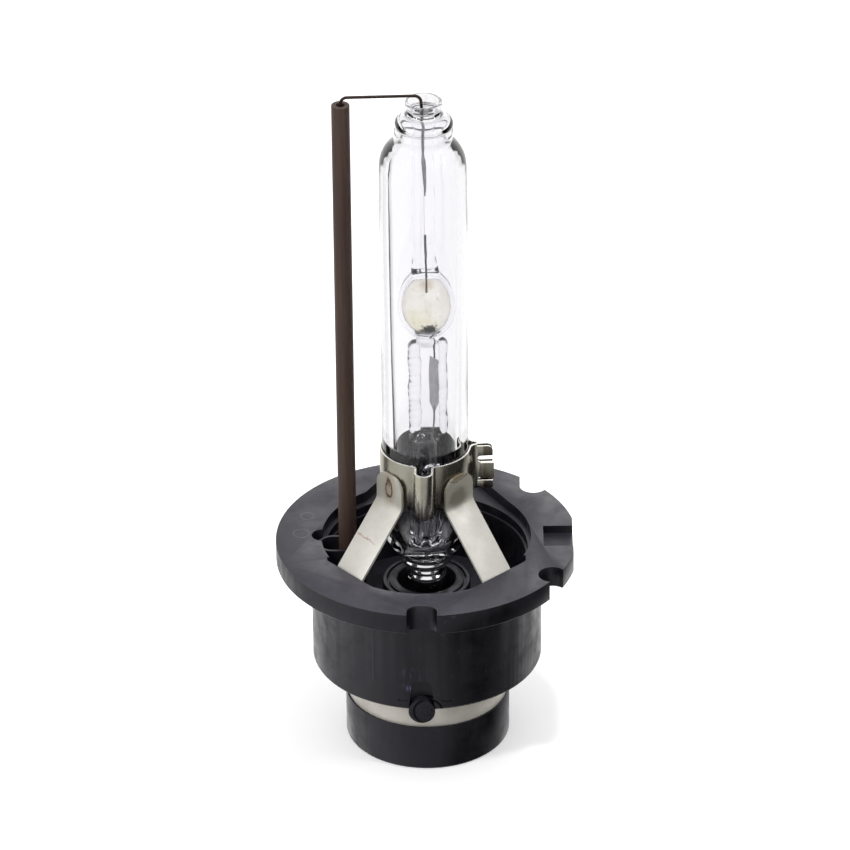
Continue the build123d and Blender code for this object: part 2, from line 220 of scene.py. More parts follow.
def moulded_plastic(name, dark, light, marks=False):
    """Black moulded thermoset: cloudy sheen, rubbed patches, fine grain and short scratches. With
    marks, also dust on the faces that look up, a painted sheen on those near the front of the
    flange, and the marks of the housing."""
    s = Shade(name)
    cloud = s.noise(210, 5, 0.62)
    blotch = s.noise(620, 4, 0.6, offset=(0.3, 0.1, 0))
    grain = s.noise(6500, 2)
    rub = s.span(s.noise(1500, 6, 0.72, stretch=(1, 0.35, 1)), 0.60, 0.76)
    hair = s.noise(2400, 4, 0.8, stretch=(0.22, 1.0, 1.0), offset=(0.2, 0, 0.4))
    hair = s.span(hair, 0.66, 0.72)
    tone = s.mix(s.span(cloud, 0.3, 0.7), dark, light)
    tone = s.tint(tone, rgb(0.10, 0.095, 0.11), rub, 0.22)
    tone = s.tint(tone, rgb(0.16, 0.15, 0.17), hair, 0.18)
    rough = s.total(s.span(cloud, 0.3, 0.7, 0.30, 0.44), s.span(blotch, 0.4, 0.7, 0.0, 0.12))
    height = s.total(s.product(blotch, 0.6), s.product(grain, 0.25))
    gloss = PLASTIC_GLOSS
    if marks:
        patchy = s.span(s.noise(900, 5, 0.7, offset=(0, 0.5, 0)), 0.25, 0.7, 0.6, 1.0)
        dust_and_sheen = s.product(s.upward(), patchy)
        tone = s.tint(tone, rgb(0.021, 0.020, 0.026), dust_and_sheen)
        # Painted sheen: faces that look up near the front of the flange are made paler.
        tone = s.tint(tone, rgb(0.040, 0.038, 0.049), dust_and_sheen, s.near((-3.0, -15.0, 0), 5.0, 13.0))
        tone, height, matt = housing_marks(s, tone, height)
        gloss = s.minus(PLASTIC_GLOSS, s.product(matt, PLASTIC_GLOSS))
    s.set(Base_Color=tone, Roughness=rough, IOR=1.48, Specular_IOR_Level=gloss,
          Specular_Tint=rgb(0.92, 0.89, 1.0), Normal=s.bump(height, 0.00005, 0.22))
    return s.material


def housing_marks(s, tone, height):
    """Marks of moulding and handling on the housing: two ejector rings on the flange, a flash
    line down the front of the barrel, rubbed streaks above the front peg, a short crack on either
    side of the peg, and pits in its end. Returns the tone, the height and where gloss is lost."""
    for point, radius in EJECTOR_RINGS:
        ring = s.stroke(s.reach(point), radius, 0.04, 0.16)
        tone = s.tint(tone, rgb(0.09, 0.085, 0.10), ring, 0.35)
        height = s.minus(height, s.product(ring, 0.8))
    front = s.span(s.axis(Y), -9.0, -8.0, 1.0, 0.0)

    flash = s.stroke(s.axis(X), FLASH_LINE_X, 0.03, 0.12)
    flash = s.product(flash, front, s.band(s.axis(Z), -11.0, -4.2, 0.4))
    tone = s.tint(tone, rgb(0.04, 0.038, 0.045), flash, 0.3)
    height = s.total(height, s.product(flash, 1.4))

    streak = s.span(s.noise(3000, 4, 0.7, stretch=(1, 1, 0.2)), 0.52, 0.66)
    zone = s.near((-1.9, -12.1, -10.7), 0.4, 1.6, squash=(1, 1, 0.7))
    tone = s.tint(tone, rgb(0.12, 0.10, 0.22), streak, zone, 0.5)

    beside = s.band(s.math("ABSOLUTE", s.total(s.axis(X), 0.3)), 1.75, 2.9, 0.1)
    above = s.total(s.minus(s.axis(Z), CRACK_LEVEL), s.wander(1500, 0.5))
    crack = s.product(s.stroke(above, 0.0, 0.02, 0.07), beside, front)
    tone = s.tint(tone, BLACK, crack)
    height = s.minus(height, s.product(crack, 3.0))

    round_peg = s.product(s.band(s.reach(PEG_MIDDLE), 1.38, 1.62, 0.05), front)
    rough_spots = s.span(s.noise(3400, 5, 0.8), 0.5, 0.62)
    pits = s.product(rough_spots, s.near(PEG_FACE, 1.2, 1.35))
    height = s.total(height, s.product(pits, 4.0))
    matt = s.math("MAXIMUM", s.product(round_peg, 0.9), s.product(pits, 0.7))
    return tone, height, s.math("MAXIMUM", crack, matt)


# ------------------------------------------------------------------ metal
def sheet_metal(name, pale, dull, rough, stain=None, metallic=1.0):
    """Rolled sheet: fine rolling grain, cloudy dulling, small dark spots and, where given, a
    stain. Rough is the range of roughness along the grain."""
    s = Shade(name)
    streak = s.noise(5200, 3, 0.6, stretch=(1, 1, 0.3))
    cloud = s.noise(330, 5, 0.62)
    spots = s.span(s.noise(2600, 3, 0.6), 0.68, 0.78)
    tone = s.mix(s.span(cloud, 0.32, 0.68), pale, dull)
    tone = s.tint(tone, rgb(*(0.45 * part for part in dull[:3])), spots, 0.35)
    if stain:
        tone = stain(s, tone)
    height = s.total(s.product(streak, 0.05), cloud)
    rough = s.total(s.span(streak, 0.3, 0.7, *rough), s.span(cloud, 0.4, 0.7, 0.0, 0.08))
    s.set(Base_Color=tone, Metallic=metallic, Roughness=rough,
          Normal=s.bump(height, 0.00006, 0.15))
    return s.material


# Burns round the spot welds of the two front legs, and a painted reflection below the right leg's
# bend. Each has its middle in mm, how much each direction counts, how uneven its edge is, the
# distances between which it fades out, and how thickly it is painted. A ring is a darker band
# inside it.
LEG_BURNS_AND_REFLECTION = (
    {"point": (-3.75, -3.3, 8.0), "squash": (0.95, 0.95, 0.42), "uneven": 0.4,
     "fade": (0.3, 1.2), "share": 0.55, "colour": rgb(0.25, 0.17, 0.09),
     "ring": {"band": (0.38, 0.56, 0.06), "share": 0.9, "colour": rgb(0.06, 0.025, 0.015)}},
    {"point": (-3.75, -3.3, 8.75), "squash": (1.1, 1.1, 0.8), "uneven": 0.4,
     "fade": (0.2, 0.55), "share": 0.7, "colour": rgb(0.10, 0.055, 0.03)},
    {"point": (3.3, -3.7, 9.9), "squash": (0.7, 0.7, 1.3), "uneven": 0.7,
     "fade": (0.55, 1.15), "share": 0.7, "colour": rgb(0.15, 0.095, 0.045),
     "ring": {"band": (0.95, 1.08, 0.05), "share": 0.7, "colour": rgb(0.07, 0.035, 0.02)}},
    # Painted reflection: a dark olive-grey patch below the right leg's bend.
    {"point": (3.55, -4.1, 7.1), "squash": (0.75, 0.75, 0.8), "uneven": 0.5,
     "fade": (0.55, 1.3), "share": 0.62, "colour": rgb(0.115, 0.108, 0.075)},
)


def leg_stain(s, tone):
    """Olive tint on the legs' tongues, partly heat tint and partly painted shade, which makes it
    deeper on the right; burns round the spot welds of the two front legs; a painted reflection, a
    dark patch below the right leg's bend; and a fine scratch across the left one."""
    wave = s.wander(1400, 1.3)
    # The tongues' tint is partly heat tint and partly painted shade; the painted shade makes it
    # deeper on the right.
    tongue = s.span(s.axis(Z), 5.0, 7.2)
    right = s.span(s.axis(X), -1.0, 1.0)
    tint_share = s.total(0.34, s.product(right, 0.20))
    tone = s.tint(tone, rgb(0.15, 0.14, 0.075), tongue, tint_share)
    for leg_mark in LEG_BURNS_AND_REFLECTION:
        away = s.total(s.reach(leg_mark["point"], leg_mark["squash"]), s.product(wave, leg_mark["uneven"]))
        tone = s.tint(tone, leg_mark["colour"], s.span(away, *leg_mark["fade"], 1.0, 0.0), leg_mark["share"])
        if "ring" in leg_mark:
            ring = leg_mark["ring"]
            tone = s.tint(tone, ring["colour"], s.band(away, *ring["band"]), ring["share"])
    level = s.total(s.product(wave, 0.35), 2.9)
    scratch = s.product(s.stroke(s.axis(Z), level, 0.02, 0.07), s.band(s.axis(X), -7.2, -5.4, 0.2))
    return s.tint(tone, rgb(0.30, 0.12, 0.08), scratch, 0.55)


def collar_stain(s, tone):
    """Brown tarnish towards the collar's lower edge; painted shade on the band, which is darker
    than the rib; tabs that are darker, darker still on top, with painted shade at their feet; a
    painted highlight on the cut edges that face up; and painted shade on the inside against the
    glass."""
    patch = s.span(s.noise(700, 4, 0.6), 0.45, 0.62)
    low = s.span(s.axis(Z), 6.0, 8.6, 0.55, 0.0)
    behind_front = s.span(s.axis(Y), -5.6, -5.2, 0.15, 1.0)
    tone = s.tint(tone, rgb(0.26, 0.21, 0.13), low, behind_front, patch)
    from_axis = s.reach((0, 0, 0), squash=(1, 1, 0))
    # Painted shade: the band is darker than the rib, standing in for the dark well that it
    # reflects.
    tone = s.tint(tone, rgb(0.17, 0.16, 0.125), s.span(from_axis, 4.86, 5.15, 0.42, 0.0))

    tabs = s.span(s.axis(X), 5.95, 6.3)
    tab_tops = s.product(tabs, s.span(s.axis(Z), 9.2, 9.6))
    tab_feet_shade = s.product(tabs, s.span(s.axis(Z), 6.9, 7.2, 1.0, 0.0))
    # The tabs are darker, and darker still on top; at their feet, painted shade.
    tone = s.tint(tone, rgb(0.13, 0.118, 0.085), tabs, 0.6)
    tone = s.tint(tone, rgb(0.13, 0.115, 0.09), tab_tops, 0.75)
    tone = s.tint(tone, rgb(0.05, 0.042, 0.038), tab_feet_shade, 0.9)

    # Painted highlight on the faces that look up: the collar's top cut edges.
    tone = s.tint(tone, rgb(0.88, 0.86, 0.80), s.upward(), 0.9)
    # Painted shade on the inside of the collar, against the glass.
    inside = s.span(from_axis, 4.62, 4.70, 1.0, 0.0)
    return s.tint(tone, rgb(0.045, 0.043, 0.055), inside)


def dull_metal(name, tone, deep, rough, metallic=1.0):
    """Drawn wire, foil or plated metal with fine drawing marks."""
    s = Shade(name)
    grain = s.noise(3600, 4, 0.65, stretch=(1, 1, 0.3))
    s.set(Base_Color=s.mix(s.span(grain, 0.3, 0.7), tone, deep), Metallic=metallic,
          Roughness=s.span(grain, 0.3, 0.7, rough, rough + 0.15),
          Normal=s.bump(grain, 0.00002, 0.35))
    return s.material


# ------------------------------------------------------------------ glass, salts and the rest
GLASS_IOR = 1.5


def clear_quartz(name, edge, pinched, power, ripple_scale, soft_ball):
    """Clear fused glass. Where it is seen edge on it takes on the edge colour, a painted dark
    outline, or at the height of the pinch the pinched colour, a deeper painted shade; it is warm
    next to the discharge cavity. The ball bends light less, by soft_ball. The foot bends it more,
    is more rippled, and is mirror-bright in places."""
    s = Shade(name)
    # Painted shade: the glass is tinted darker where it is seen edge on, and darker still along the
    # pinch.
    facing = s.add("ShaderNodeLayerWeight", {"Blend": 0.5}).outputs["Facing"]
    rim = s.math("POWER", facing, power)
    clear, warm = rgb(0.988, 0.984, 1.0), rgb(0.975, 0.965, 0.935)
    body = s.mix(s.near((BALL_LEAN, 0, 27.95), 1.9, 3.6), clear, warm)
    edge = s.mix(s.band(s.axis(Z), 12.6, 25.0, 0.5), edge, pinched)

    ball = s.band(s.axis(Z), 24.6, 34.6, 0.4)
    foot = s.span(s.axis(Z), -2.5, 1.5, 0.75, 0.0)
    ior = s.total(s.minus(GLASS_IOR, s.product(ball, soft_ball)), foot)

    patches = s.span(s.noise(520, 2, 0.4), 0.42, 0.46)
    mirror = s.product(s.band(s.axis(Z), -6.7, -1.5, 0.15), patches)
    tone = s.mix(mirror, s.mix(rim, body, edge), rgb(0.98, 0.98, 1.0))

    ripple = s.noise(ripple_scale, 2, 0.5, stretch=(1, 1, 0.35))
    strength = s.total(s.product(s.band(s.axis(Z), -6.8, -2.4, 0.4), 2.0), 1.0)
    seeds = s.span(s.noise(2600, 2, 0.5, stretch=(1, 1, 0.5)), 0.74, 0.80)
    height = s.total(s.product(ripple, strength), s.product(seeds, 0.1))
    s.set(Base_Color=tone, Metallic=mirror, Roughness=0.0, IOR=ior, Transmission_Weight=1.0,
          Normal=s.bump(height, 0.0002, 0.08))
    return s.material


def salt_coat():
    """Milky condensed salts inside the discharge cavity: cream and see-through, yellower at the
    front, with a dark feathery deposit low on the front and a brown spot near the top."""
    s = Shade("salt")
    cloud = s.noise(700, 4, 0.6)
    fleck = s.noise(3000, 5, 0.72)
    tone = s.mix(s.span(cloud, 0.38, 0.62), rgb(1.0, 0.998, 0.962), rgb(1.0, 0.988, 0.925))
    tone = s.tint(tone, rgb(0.97, 0.94, 0.70), s.near((-0.6, -2.0, 27.6), 0.3, 2.2), 0.55)
    tone = s.tint(tone, rgb(0.66, 0.52, 0.33), s.near((0.3, -1.1, 31.35), 0.15, 1.0), 0.55)
    feathers = s.span(fleck, 0.35, 0.65, -0.6, 0.35)
    soot = s.span(s.total(s.near((0.5, -2.15, 26.6), 0.2, 1.15), feathers), 0.28, 0.60)
    specks = s.product(s.span(fleck, 0.72, 0.76), 0.5)
    dark = s.math("MAXIMUM", soot, specks)
    tone = s.tint(tone, rgb(0.035, 0.033, 0.03), dark)
    milky = s.span(cloud, 0.3, 0.7, 0.02, 0.09)
    clear = s.math("SUBTRACT", s.minus(1.0, milky), dark, clamp=True)
    s.set(Base_Color=tone, Roughness=0.2, IOR=1.04, Transmission_Weight=clear,
          Normal=s.bump(fleck, 0.00004, 0.4))
    return s.material


def brown_ceramic():
    """Extruded, fired tube: faint lengthwise streaks, pores and a dusty surface."""
    s = Shade("ceramic_brown")
    streak = s.noise(1500, 4, 0.6, stretch=(1, 1, 0.05))
    pore = s.noise(5200, 4, 0.7)
    cloud = s.noise(160, 3)
    tone = s.mix(s.span(streak, 0.3, 0.7), rgb(0.038, 0.021, 0.016), rgb(0.066, 0.040, 0.031))
    tone = s.tint(tone, rgb(0.052, 0.028, 0.020), s.span(cloud, 0.35, 0.7, 0.0, 0.4))
    tone = s.tint(tone, rgb(0.12, 0.085, 0.068), s.span(pore, 0.62, 0.74), 0.35)
    s.set(Base_Color=tone, Roughness=0.55, IOR=1.35,
          Normal=s.bump(s.total(pore, streak), 0.00004, 0.5))
    return s.material


def soft_compound(name, pale, deep, rough):
    """Poured silicone: slightly uneven, semi-matt."""
    s = Shade(name)
    cloud = s.noise(900, 4)
    s.set(Base_Color=s.mix(cloud, pale, deep), Roughness=rough,
          Normal=s.bump(cloud, 0.0001, 0.4))
    return s.material


MATERIALS = {
    "base_plastic": moulded_plastic(
        "base_plastic", dark=rgb(0.0016, 0.0014, 0.0024), light=rgb(0.0042, 0.0038, 0.0058),
        marks=True),
    "bush_plastic": moulded_plastic(
        "bush_plastic", dark=rgb(0.004, 0.004, 0.005), light=rgb(0.009, 0.0085, 0.011)),
    "silicone": soft_compound(
        "silicone", pale=rgb(0.55, 0.54, 0.50), deep=rgb(0.42, 0.41, 0.38), rough=0.5),
    "ring_metal": sheet_metal(
        "ring_metal", pale=rgb(0.60, 0.57, 0.52), dull=rgb(0.50, 0.47, 0.42),
        rough=(0.40, 0.55), metallic=0.5),
    "collar_steel": sheet_metal(
        "collar_steel", pale=rgb(0.52, 0.50, 0.43), dull=rgb(0.42, 0.40, 0.32),
        rough=(0.20, 0.30), stain=collar_stain),
    "leg_steel": sheet_metal(
        "leg_steel", pale=rgb(0.58, 0.565, 0.525), dull=rgb(0.52, 0.505, 0.465),
        rough=(0.48, 0.58), stain=leg_stain, metallic=0.6),
    "pin_brass": dull_metal(
        "pin_brass", rgb(0.75, 0.62, 0.35), deep=rgb(0.60, 0.48, 0.26), rough=0.28),
    "solder": dull_metal(
        "solder", rgb(0.72, 0.72, 0.72), deep=rgb(0.55, 0.55, 0.56), rough=0.25),
    "clear_glass": clear_quartz(
        "clear_glass", edge=rgb(0.965, 0.965, 0.985), pinched=rgb(0.965, 0.965, 0.985),
        power=2.5, ripple_scale=380, soft_ball=0.0),
    "quartz": clear_quartz(
        "quartz", edge=rgb(0.93, 0.93, 0.96), pinched=rgb(0.36, 0.36, 0.39),
        power=1.2, ripple_scale=900, soft_ball=0.32),
    "salt": salt_coat(),
    "molybdenum": dull_metal(
        "molybdenum", rgb(0.40, 0.40, 0.40), deep=rgb(0.26, 0.26, 0.265), rough=0.45,
        metallic=0.6),
    "foil_sheet": dull_metal(
        "foil_sheet", rgb(0.85, 0.85, 0.86), deep=rgb(0.70, 0.70, 0.71), rough=0.45,
        metallic=0.3),
    "tungsten": dull_metal(
        "tungsten", rgb(0.13, 0.13, 0.135), deep=rgb(0.07, 0.07, 0.072), rough=0.45),
    "wire_dark": dull_metal(
        "wire_dark", rgb(0.045, 0.028, 0.022), deep=rgb(0.020, 0.012, 0.010), rough=0.40,
        metallic=0.7),
    "ceramic_brown": brown_ceramic(),
}


def dress_frame():
    """Gives every CAD node the material of its slot."""
    for part in frame["record"]["subparts"]:
        node = frame["nodes"][part["node"]]
        node.data.materials.clear()
        node.data.materials.append(MATERIALS[part["material_slot"]])


# ------------------------------------------------------------------ mesh helpers
def piece(name, mesh, slot, replaced, materials=()):
    """Puts a mesh on the bulb's one body, in place of the CAD nodes that it stands for."""
    obj = bpy.data.objects.new(name, mesh)
    bpy.context.scene.collection.objects.link(obj)
    # Clearing also resets the faces' material numbers, so a mesh without materials is left alone.
    if len(mesh.materials):
        mesh.materials.clear()
    for material in materials or (slot,):
        mesh.materials.append(MATERIALS[material])
    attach(obj, BODY)
    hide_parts(*replaced)


def evaluated_mesh(obj):
    """A new mesh of an object with its modifiers applied."""
    bpy.context.view_layer.update()
    return bpy.data.meshes.new_from_object(
        obj.evaluated_get(bpy.context.evaluated_depsgraph_get()))


def through(points, steps):
    """Smooth open curve through the points, with as many steps between each two. Slopes are
    weighted by the gaps beside them, so a short gap next to a long one doesn't overshoot."""
    points = [Vector(p) for p in points]
    gaps = [(b - a).length for a, b in zip(points, points[1:])]
    slopes = [(b - a) / gap for a, b, gap in zip(points, points[1:], gaps)]
    tangents = [slopes[0]]
    for i in range(1, len(slopes)):
        weighted = slopes[i - 1] * gaps[i] + slopes[i] * gaps[i - 1]
        tangents.append(weighted / (gaps[i - 1] + gaps[i]))
    tangents.append(slopes[-1])
    curve = []
    for i, gap in enumerate(gaps):
        for k in range(steps):
            t = k / steps
            curve.append(points[i] * (2 * t ** 3 - 3 * t ** 2 + 1)
                         + tangents[i] * gap * (t ** 3 - 2 * t ** 2 + t)
                         + points[i + 1] * (3 * t ** 2 - 2 * t ** 3)
                         + tangents[i + 1] * gap * (t ** 3 - t ** 2))
    curve.append(points[-1])
    return curve


def step(value, low, high):
    """Smooth step from 0 to 1 between two levels."""
    t = min(1.0, max(0.0, (value - low) / (high - low)))
    return t * t * (3 - 2 * t)


def rings_mesh(name, rings, closed):
    """Skin over rings of points. A closed one joins its last ring to its first; an open one is
    capped at both ends with a fan."""
    count = len(rings[0])
    work = bmesh.new()
    made = [[work.verts.new(Vector(p) * MM) for p in ring] for ring in rings]
    pairs = list(zip(made, made[1:])) + ([(made[-1], made[0])] if closed else [])
    for low, high in pairs:
        for k in range(count):
            n = (k + 1) % count
            work.faces.new((low[k], low[n], high[n], high[k]))
    if not closed:
        for ring, flip in ((made[0], True), (made[-1], False)):
            middle = work.verts.new(sum((v.co for v in ring), Vector()) / count)
            for k in range(count):
                n = (k + 1) % count
                corners = (ring[n], ring[k], middle) if flip else (ring[k], ring[n], middle)
                work.faces.new(corners)
    bmesh.ops.recalc_face_normals(work, faces=work.faces)
    return smooth_faces(finished(name, work))


def finished(name, work):
    """Mesh made from a bmesh, which is freed."""
    mesh = bpy.data.meshes.new(name)
    work.to_mesh(mesh)
    work.free()
    return mesh


def smooth_faces(mesh):
    mesh.polygons.foreach_set("use_smooth", [True] * len(mesh.polygons))
    mesh.update()
    return mesh


def circle(radius, z, count, lean=(0.0, 0.0)):
    return [(lean[0] + radius * math.cos(2 * math.pi * k / count),
             lean[1] + radius * math.sin(2 * math.pi * k / count), z) for k in range(count)]


def joined(first, second):
    """Exact Boolean union of two meshes, whose faces keep their material numbers."""
    a = bpy.data.objects.new("a", first)
    b = bpy.data.objects.new("b", second)
    for obj in (a, b):
        bpy.context.scene.collection.objects.link(obj)
    union = a.modifiers.new("join", "BOOLEAN")
    union.operation, union.solver, union.object = "UNION", "EXACT", b
    union.material_mode = "INDEX"
    result = evaluated_mesh(a)
    for obj in (a, b):
        bpy.data.objects.remove(obj)
    return result


def merged(name, meshes):
    """Several meshes as one, not joined to each other."""
    work = bmesh.new()
    for mesh in meshes:
        work.from_mesh(mesh)
    return finished(name, work)


# ------------------------------------------------------------------ glass
SIDES = 144

# Profiles of the sleeve as (radius, height), outside from the drawn-in foot to the open tip, and
# inside back down.
SLEEVE_OUTSIDE = (
    (1.50, -2.95), (2.05, -3.00), (2.54, -2.80), (2.72, -2.38), (2.52, -1.96), (2.66, -1.60),
    (3.20, -1.15), (3.72, -0.60), (4.14, 0.05), (4.42, 0.90), (4.55, 2.0), (4.567, 4.0),
    (4.567, 24.0), (4.567, 43.6), (4.54, 44.7), (4.40, 45.55), (4.08, 46.30), (3.68, 46.88),
    (3.28, 47.32), (3.02, 47.72), (3.00, 48.05), (3.05, 48.45), (3.02, 48.80), (2.94, 49.02),
    (3.00, 49.25), (3.02, 49.50), (2.92, 49.74), (2.60, 50.06), (2.20, 50.44), (1.90, 50.74),
    (1.80, 50.98), (1.84, 51.28), (1.94, 51.60), (1.91, 51.86), (1.74, 51.94), (1.58, 51.80),
    (1.48, 51.40), (1.38, 51.00), (1.22, 50.78), (1.00, 50.68), (0.80, 50.66),
)
SLEEVE_INSIDE = (
    (0.80, 50.30), (1.30, 50.26), (1.80, 50.12), (2.20, 49.84), (2.46, 49.52), (2.47, 49.26),
    (2.40, 49.02), (2.48, 48.76), (2.52, 48.42), (2.48, 48.02), (2.56, 47.62), (2.80, 47.14),
    (3.10, 46.60), (3.36, 46.00), (3.52, 45.30), (3.58, 44.40), (3.58, 43.2), (3.50, 36.0),
    (3.42, 24.0), (3.22, 12.0), (3.12, 3.2), (3.02, 1.7), (2.74, 0.6), (2.34, -0.1),
    (1.80, -0.60), (1.40, -0.80),
)

# The burner's stem below the pinch, as (height, radius), and its rounded top.
NECK = ((-7.0, 1.05), (-6.5, 1.55), (-5.8, 1.92), (-5.0, 2.10), (-4.3, 2.10), (-3.75, 1.80),
        (-3.3, 1.58), (-2.0, 1.75), (12.4, 1.72))
TOP_START, TOP_LENGTH = 50.3, 0.42

# Air space in the lower stem, as (radius, height).
BORE = ((0.03, -6.62), (0.7, -6.45), (1.2, -5.9), (1.36, -5.1), (1.15, -4.2), (0.9, -3.4),
        (0.8, -2.0), (0.8, 8.5), (0.72, 9.0), (0.45, 9.45), (0.03, 9.62))

# Eggs round the light centre, as (radius, half height): the cavity, and both faces of the salts.
CAVITY = (2.58, 3.06)
COAT_OUTSIDE = (2.55, 3.03)
COAT_INSIDE = (2.50, 2.97)
EGG_RISE = 1.13  # how much longer the eggs are above the middle than below it


def bulb_mesh():
    """Clear sleeve: open rolled tip, double bead where it is sealed on to the burner, round
    shoulder, long wall that thins towards the top, and a drawn-in lower end."""
    rings = []
    for radius, z in through(SLEEVE_OUTSIDE, 5) + through(SLEEVE_INSIDE, 5):
        lean = 0.15 * step(z, 46.6, 48.6)
        drift = 0.03 * step(z, 45.5, 47.5) + 0.035 * (1 - step(z, -1.5, 0.5))
        sway = (lean + drift * math.sin(3.1 * z), drift * math.cos(2.3 * z))
        rings.append(circle(radius, z, SIDES, sway))
    return rings_mesh("bulb", rings, closed=True)


def burner_radius(z):
    """Radius of the burner where it is round: the ball, blended into the stems above and below."""
    above = z > BALL_MIDDLE
    t = (z - BALL_MIDDLE) / (3.8 if above else 3.6)
    ball = BALL_RADIUS * math.sqrt(max(0.0, 1 - t * t))
    if above:
        wave = 0.02 * math.sin(1.9 * z) * step(z, 33, 35)
        stem = (1.2 + 0.30 * (1 - step(z, 31.8, 34.4)) + wave) * step(z, 27.5, 31.4)
        blend = 2.6
    else:
        stem = 0.95 if z > 13.6 else 1.72
        blend = 5.0
    radius = (ball ** blend + stem ** blend) ** (1 / blend)
    for (z0, r0), (z1, r1) in zip(NECK, NECK[1:]):
        if z0 <= z <= z1 and z < NECK[-1][0]:
            radius = r0 + (r1 - r0) * step(z, z0, z1)
    if z > TOP_START:
        radius *= math.sqrt(max(0.04, 1 - ((z - TOP_START) / TOP_LENGTH) ** 2))
    return radius


def burner_ring(z):
    """One outline of the burner's core at a height: round stems, the ball, and a flat web where
    the lower stem is pinched."""
    radius = burner_radius(z)
    lean = BALL_LEAN * step(z, 23.0, 26.0) * (1 - step(z, 30.5, 35.0)) + 0.12 * step(z, 47.0, 48.6)
    pinch = step(z, 12.6, 13.6) * (1 - step(z, 23.3, 24.5))
    ring = []
    for k in range(SIDES):
        angle = 2 * math.pi * (k + 0.5) / SIDES
        round_x, round_y = lean + radius * math.cos(angle), radius * math.sin(angle)
        flat_x = 0.43 + 1.5 * math.cos(angle)
        flat_y = math.copysign(0.40 * abs(math.sin(angle)) ** 0.6, math.sin(angle))
        ring.append((round_x + (flat_x - round_x) * pinch, round_y + (flat_y - round_y) * pinch, z))
    return ring


def burner_mesh():
    """The burner's core, with closer rings where its outline changes fast."""
    heights = []
    z = -7.0
    while z < 50.7:
        heights.append(z)
        fine = 12.2 < z < 14.0 or 23.2 < z < 33.0 or z < -2.5 or z > 50
        z += 0.12 if fine else 0.3
    return rings_mesh("burner", [burner_ring(z) for z in heights], closed=False)


def bead_mesh(centre_x, radius, low, high, phase):
    """Rounded roll of quartz at one side of the pinch, uneven where the jaws have squeezed it."""
    rings, rows, sides, cap = [], 90, 64, 1.25 * radius
    for i in range(rows + 1):
        z = low + (high - low) * (0.001 + 0.998 * i / rows)
        end = max(0.0, cap - (z - low), cap - (high - z)) / cap
        lump = 1 + 0.05 * math.sin(2.1 * z + phase) + 0.015 * math.sin(6.1 * z + 2 * phase)
        wide = radius * math.sqrt(max(0.0, 1 - end * end)) * (1 + (lump - 1) * (1 - end))
        middle_x = centre_x + 0.04 * math.sin(1.3 * z + phase)
        ring = []
        for k in range(sides):
            angle = 2 * math.pi * k / sides
            across, along = math.sin(4 * angle + 2.6 * z + phase), math.sin(6.3 * z + 2 * angle)
            dent = 1 + 0.03 * across * along * (1 - end)
            ring.append((middle_x + wide * dent * math.cos(angle),
                         0.9 * wide * dent * math.sin(angle), z))
        rings.append(ring)
    return rings_mesh("bead", rings, closed=False)


def egg(radius, half, inward):
    """Closed egg round the light centre, a little longer above it than below."""
    count, rows = 96, 48
    rings = []
    for i in range(1, rows):
        lift = math.pi * i / rows
        rise = -half * math.cos(lift)
        z = BALL_MIDDLE + (EGG_RISE * rise if rise > 0 else rise)
        rings.append(circle(radius * math.sin(lift), z, count, (BALL_LEAN, 0)))
    mesh = rings_mesh("egg", rings, closed=False)
    if inward:
        mesh.flip_normals()
    return mesh


def stem_bore():
    """Air space in the lower stem, round the lead: wide at the foot, with a rounded upper end."""
    rings = []
    for radius, z in through(BORE, 6):
        rings.append(circle(radius, z, 64, (0.45 * step(z, -1.0, 8.0), 0)))
    mesh = rings_mesh("stem_bore", rings, closed=False)
    mesh.flip_normals()
    return mesh


def glass():
    """Outer bulb and burner fused into one glass body, with the discharge cavity left in it and
    the condensed salts on the cavity's wall."""
    glasses = ("clear_glass", "quartz")
    bulb, cavity, bore = bulb_mesh(), egg(*CAVITY, inward=True), stem_bore()
    burner = burner_mesh()
    for bead in (bead_mesh(-1.02, 0.72, 12.9, 24.25, 0.4), bead_mesh(1.88, 0.53, 12.9, 24.5, 2.1)):
        burner = joined(burner, bead)
    for mesh, number in ((bulb, 0), (burner, 1), (cavity, 1), (bore, 1)):
        for glass_name in glasses:
            mesh.materials.append(MATERIALS[glass_name])
        mesh.polygons.foreach_set("material_index", [number] * len(mesh.polygons))
    whole = merged("glass_body", [joined(bulb, burner), cavity, bore])
    piece("glass_body", smooth_faces(whole), "quartz", ("outer_bulb", "arc_tube"), glasses)
    coat = merged("salt_coat", [egg(*COAT_OUTSIDE, inward=False), egg(*COAT_INSIDE, inward=True)])
    piece("salt_coat", smooth_faces(coat), "salt", ("halide_salts",))


